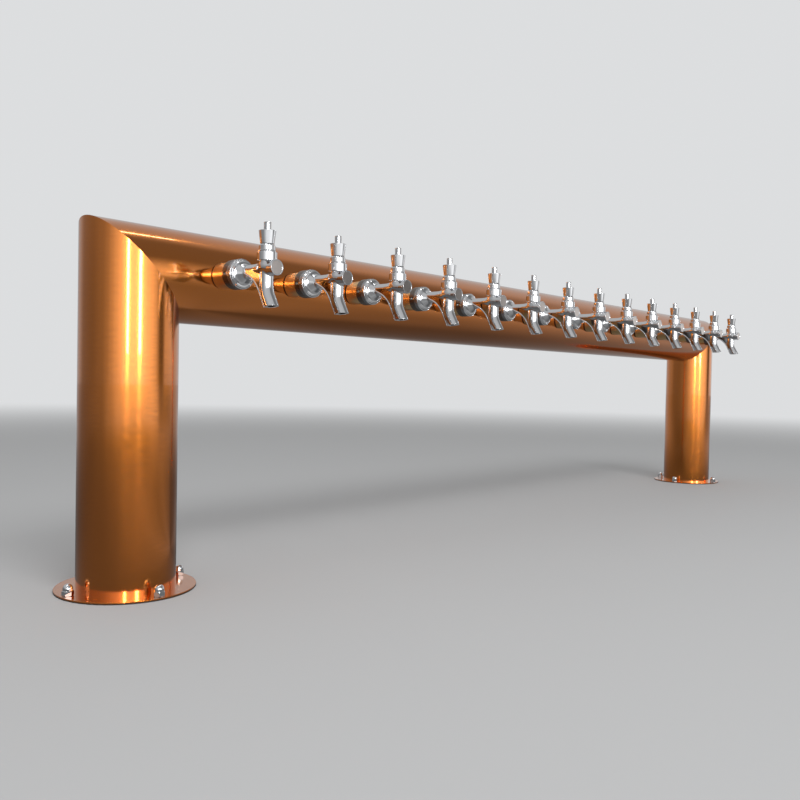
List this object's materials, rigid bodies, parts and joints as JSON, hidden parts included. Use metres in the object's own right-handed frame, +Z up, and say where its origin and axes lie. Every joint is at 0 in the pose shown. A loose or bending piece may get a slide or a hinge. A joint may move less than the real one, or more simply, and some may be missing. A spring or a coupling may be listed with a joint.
{
  "type": "bridge beer tower",
  "caption": "Bridge draught tower: round copper cross tube on two flanged uprights, with a row of chrome taps whose levers tilt forward to open their valves.",
  "frame": {"origin": "on the counter, midway between the axes of the two columns", "axes": "+X along the cross tube, -Y the side of the taps, +Z up"},
  "size_m": [2, 0.268, 0.4805],
  "materials": {
    "copper": "satin",
    "chrome": "polished",
    "dark_metal": "satin",
    "seal_rubber": "matte",
    "steel": "satin",
    "valve_brass": "satin",
    "line_plastic": "satin",
    "foam": "matte"
  },
  "bodies": {
    "tower": {"beam": "copper", "left_column": "copper", "right_column": "copper", "left_flange": "copper", "right_flange": "copper", "base_gaskets": "seal_rubber", "dome_nuts": "chrome", "shank_gaskets": "seal_rubber", "shank_sleeves": "copper", "shanks": "steel", "saddle_washers": "steel", "shank_nuts": "steel", "coupling_nuts": "dark_metal", "faucet_bodies": "chrome", "bonnets": "chrome", "front_caps": "chrome", "beer_lines": "line_plastic", "coolant_line": "copper", "foam_insulation": "foam"},
    "tap_lever_01": {"lever_01": "chrome"},
    "valve_01": {"valve_shaft_01": "valve_brass"},
    "tap_lever_02": {"lever_02": "chrome"},
    "valve_02": {"valve_shaft_02": "valve_brass"},
    "tap_lever_03": {"lever_03": "chrome"},
    "valve_03": {"valve_shaft_03": "valve_brass"},
    "tap_lever_04": {"lever_04": "chrome"},
    "valve_04": {"valve_shaft_04": "valve_brass"},
    "tap_lever_05": {"lever_05": "chrome"},
    "valve_05": {"valve_shaft_05": "valve_brass"},
    "tap_lever_06": {"lever_06": "chrome"},
    "valve_06": {"valve_shaft_06": "valve_brass"},
    "tap_lever_07": {"lever_07": "chrome"},
    "valve_07": {"valve_shaft_07": "valve_brass"},
    "tap_lever_08": {"lever_08": "chrome"},
    "valve_08": {"valve_shaft_08": "valve_brass"},
    "tap_lever_09": {"lever_09": "chrome"},
    "valve_09": {"valve_shaft_09": "valve_brass"},
    "tap_lever_10": {"lever_10": "chrome"},
    "valve_10": {"valve_shaft_10": "valve_brass"},
    "tap_lever_11": {"lever_11": "chrome"},
    "valve_11": {"valve_shaft_11": "valve_brass"},
    "tap_lever_12": {"lever_12": "chrome"},
    "valve_12": {"valve_shaft_12": "valve_brass"},
    "tap_lever_13": {"lever_13": "chrome"},
    "valve_13": {"valve_shaft_13": "valve_brass"},
    "tap_lever_14": {"lever_14": "chrome"},
    "valve_14": {"valve_shaft_14": "valve_brass"}
  },
  "joints": [
    {"name": "lever_tilt_01", "type": "hinge", "parent": "tower", "child": "tap_lever_01", "pos_m": [-0.8086, -0.1575, 0.442], "axis": [1, 0, 0], "range_deg": [0, 20]},
    {"name": "valve_slide_01", "type": "slide", "parent": "tower", "child": "valve_01", "axis": [0, 1, 0], "range_m": [0, 0.008]},
    {"name": "lever_tilt_02", "type": "hinge", "parent": "tower", "child": "tap_lever_02", "pos_m": [-0.6842, -0.1575, 0.442], "axis": [1, 0, 0], "range_deg": [0, 20]},
    {"name": "valve_slide_02", "type": "slide", "parent": "tower", "child": "valve_02", "axis": [0, 1, 0], "range_m": [0, 0.008]},
    {"name": "lever_tilt_03", "type": "hinge", "parent": "tower", "child": "tap_lever_03", "pos_m": [-0.5598, -0.1575, 0.442], "axis": [1, 0, 0], "range_deg": [0, 20]},
    {"name": "valve_slide_03", "type": "slide", "parent": "tower", "child": "valve_03", "axis": [0, 1, 0], "range_m": [0, 0.008]},
    {"name": "lever_tilt_04", "type": "hinge", "parent": "tower", "child": "tap_lever_04", "pos_m": [-0.4354, -0.1575, 0.442], "axis": [1, 0, 0], "range_deg": [0, 20]},
    {"name": "valve_slide_04", "type": "slide", "parent": "tower", "child": "valve_04", "axis": [0, 1, 0], "range_m": [0, 0.008]},
    {"name": "lever_tilt_05", "type": "hinge", "parent": "tower", "child": "tap_lever_05", "pos_m": [-0.311, -0.1575, 0.442], "axis": [1, 0, 0], "range_deg": [0, 20]},
    {"name": "valve_slide_05", "type": "slide", "parent": "tower", "child": "valve_05", "axis": [0, 1, 0], "range_m": [0, 0.008]},
    {"name": "lever_tilt_06", "type": "hinge", "parent": "tower", "child": "tap_lever_06", "pos_m": [-0.1866, -0.1575, 0.442], "axis": [1, 0, 0], "range_deg": [0, 20]},
    {"name": "valve_slide_06", "type": "slide", "parent": "tower", "child": "valve_06", "axis": [0, 1, 0], "range_m": [0, 0.008]},
    {"name": "lever_tilt_07", "type": "hinge", "parent": "tower", "child": "tap_lever_07", "pos_m": [-0.0622, -0.1575, 0.442], "axis": [1, 0, 0], "range_deg": [0, 20]},
    {"name": "valve_slide_07", "type": "slide", "parent": "tower", "child": "valve_07", "axis": [0, 1, 0], "range_m": [0, 0.008]},
    {"name": "lever_tilt_08", "type": "hinge", "parent": "tower", "child": "tap_lever_08", "pos_m": [0.0622, -0.1575, 0.442], "axis": [1, 0, 0], "range_deg": [0, 20]},
    {"name": "valve_slide_08", "type": "slide", "parent": "tower", "child": "valve_08", "axis": [0, 1, 0], "range_m": [0, 0.008]},
    {"name": "lever_tilt_09", "type": "hinge", "parent": "tower", "child": "tap_lever_09", "pos_m": [0.1866, -0.1575, 0.442], "axis": [1, 0, 0], "range_deg": [0, 20]},
    {"name": "valve_slide_09", "type": "slide", "parent": "tower", "child": "valve_09", "axis": [0, 1, 0], "range_m": [0, 0.008]},
    {"name": "lever_tilt_10", "type": "hinge", "parent": "tower", "child": "tap_lever_10", "pos_m": [0.311, -0.1575, 0.442], "axis": [1, 0, 0], "range_deg": [0, 20]},
    {"name": "valve_slide_10", "type": "slide", "parent": "tower", "child": "valve_10", "axis": [0, 1, 0], "range_m": [0, 0.008]},
    {"name": "lever_tilt_11", "type": "hinge", "parent": "tower", "child": "tap_lever_11", "pos_m": [0.4354, -0.1575, 0.442], "axis": [1, 0, 0], "range_deg": [0, 20]},
    {"name": "valve_slide_11", "type": "slide", "parent": "tower", "child": "valve_11", "axis": [0, 1, 0], "range_m": [0, 0.008]},
    {"name": "lever_tilt_12", "type": "hinge", "parent": "tower", "child": "tap_lever_12", "pos_m": [0.5598, -0.1575, 0.442], "axis": [1, 0, 0], "range_deg": [0, 20]},
    {"name": "valve_slide_12", "type": "slide", "parent": "tower", "child": "valve_12", "axis": [0, 1, 0], "range_m": [0, 0.008]},
    {"name": "lever_tilt_13", "type": "hinge", "parent": "tower", "child": "tap_lever_13", "pos_m": [0.6842, -0.1575, 0.442], "axis": [1, 0, 0], "range_deg": [0, 20]},
    {"name": "valve_slide_13", "type": "slide", "parent": "tower", "child": "valve_13", "axis": [0, 1, 0], "range_m": [0, 0.008]},
    {"name": "lever_tilt_14", "type": "hinge", "parent": "tower", "child": "tap_lever_14", "pos_m": [0.8086, -0.1575, 0.442], "axis": [1, 0, 0], "range_deg": [0, 20]},
    {"name": "valve_slide_14", "type": "slide", "parent": "tower", "child": "valve_14", "axis": [0, 1, 0], "range_m": [0, 0.008]}
  ],
  "couplings": [
    {"joint": "valve_slide_01", "follows": "lever_tilt_01", "m_per_rad": 0.0227},
    {"joint": "valve_slide_02", "follows": "lever_tilt_02", "m_per_rad": 0.0227},
    {"joint": "valve_slide_03", "follows": "lever_tilt_03", "m_per_rad": 0.0227},
    {"joint": "valve_slide_04", "follows": "lever_tilt_04", "m_per_rad": 0.0227},
    {"joint": "valve_slide_05", "follows": "lever_tilt_05", "m_per_rad": 0.0227},
    {"joint": "valve_slide_06", "follows": "lever_tilt_06", "m_per_rad": 0.0227},
    {"joint": "valve_slide_07", "follows": "lever_tilt_07", "m_per_rad": 0.0227},
    {"joint": "valve_slide_08", "follows": "lever_tilt_08", "m_per_rad": 0.0227},
    {"joint": "valve_slide_09", "follows": "lever_tilt_09", "m_per_rad": 0.0227},
    {"joint": "valve_slide_10", "follows": "lever_tilt_10", "m_per_rad": 0.0227},
    {"joint": "valve_slide_11", "follows": "lever_tilt_11", "m_per_rad": 0.0227},
    {"joint": "valve_slide_12", "follows": "lever_tilt_12", "m_per_rad": 0.0227},
    {"joint": "valve_slide_13", "follows": "lever_tilt_13", "m_per_rad": 0.0227},
    {"joint": "valve_slide_14", "follows": "lever_tilt_14", "m_per_rad": 0.0227}
  ]
}
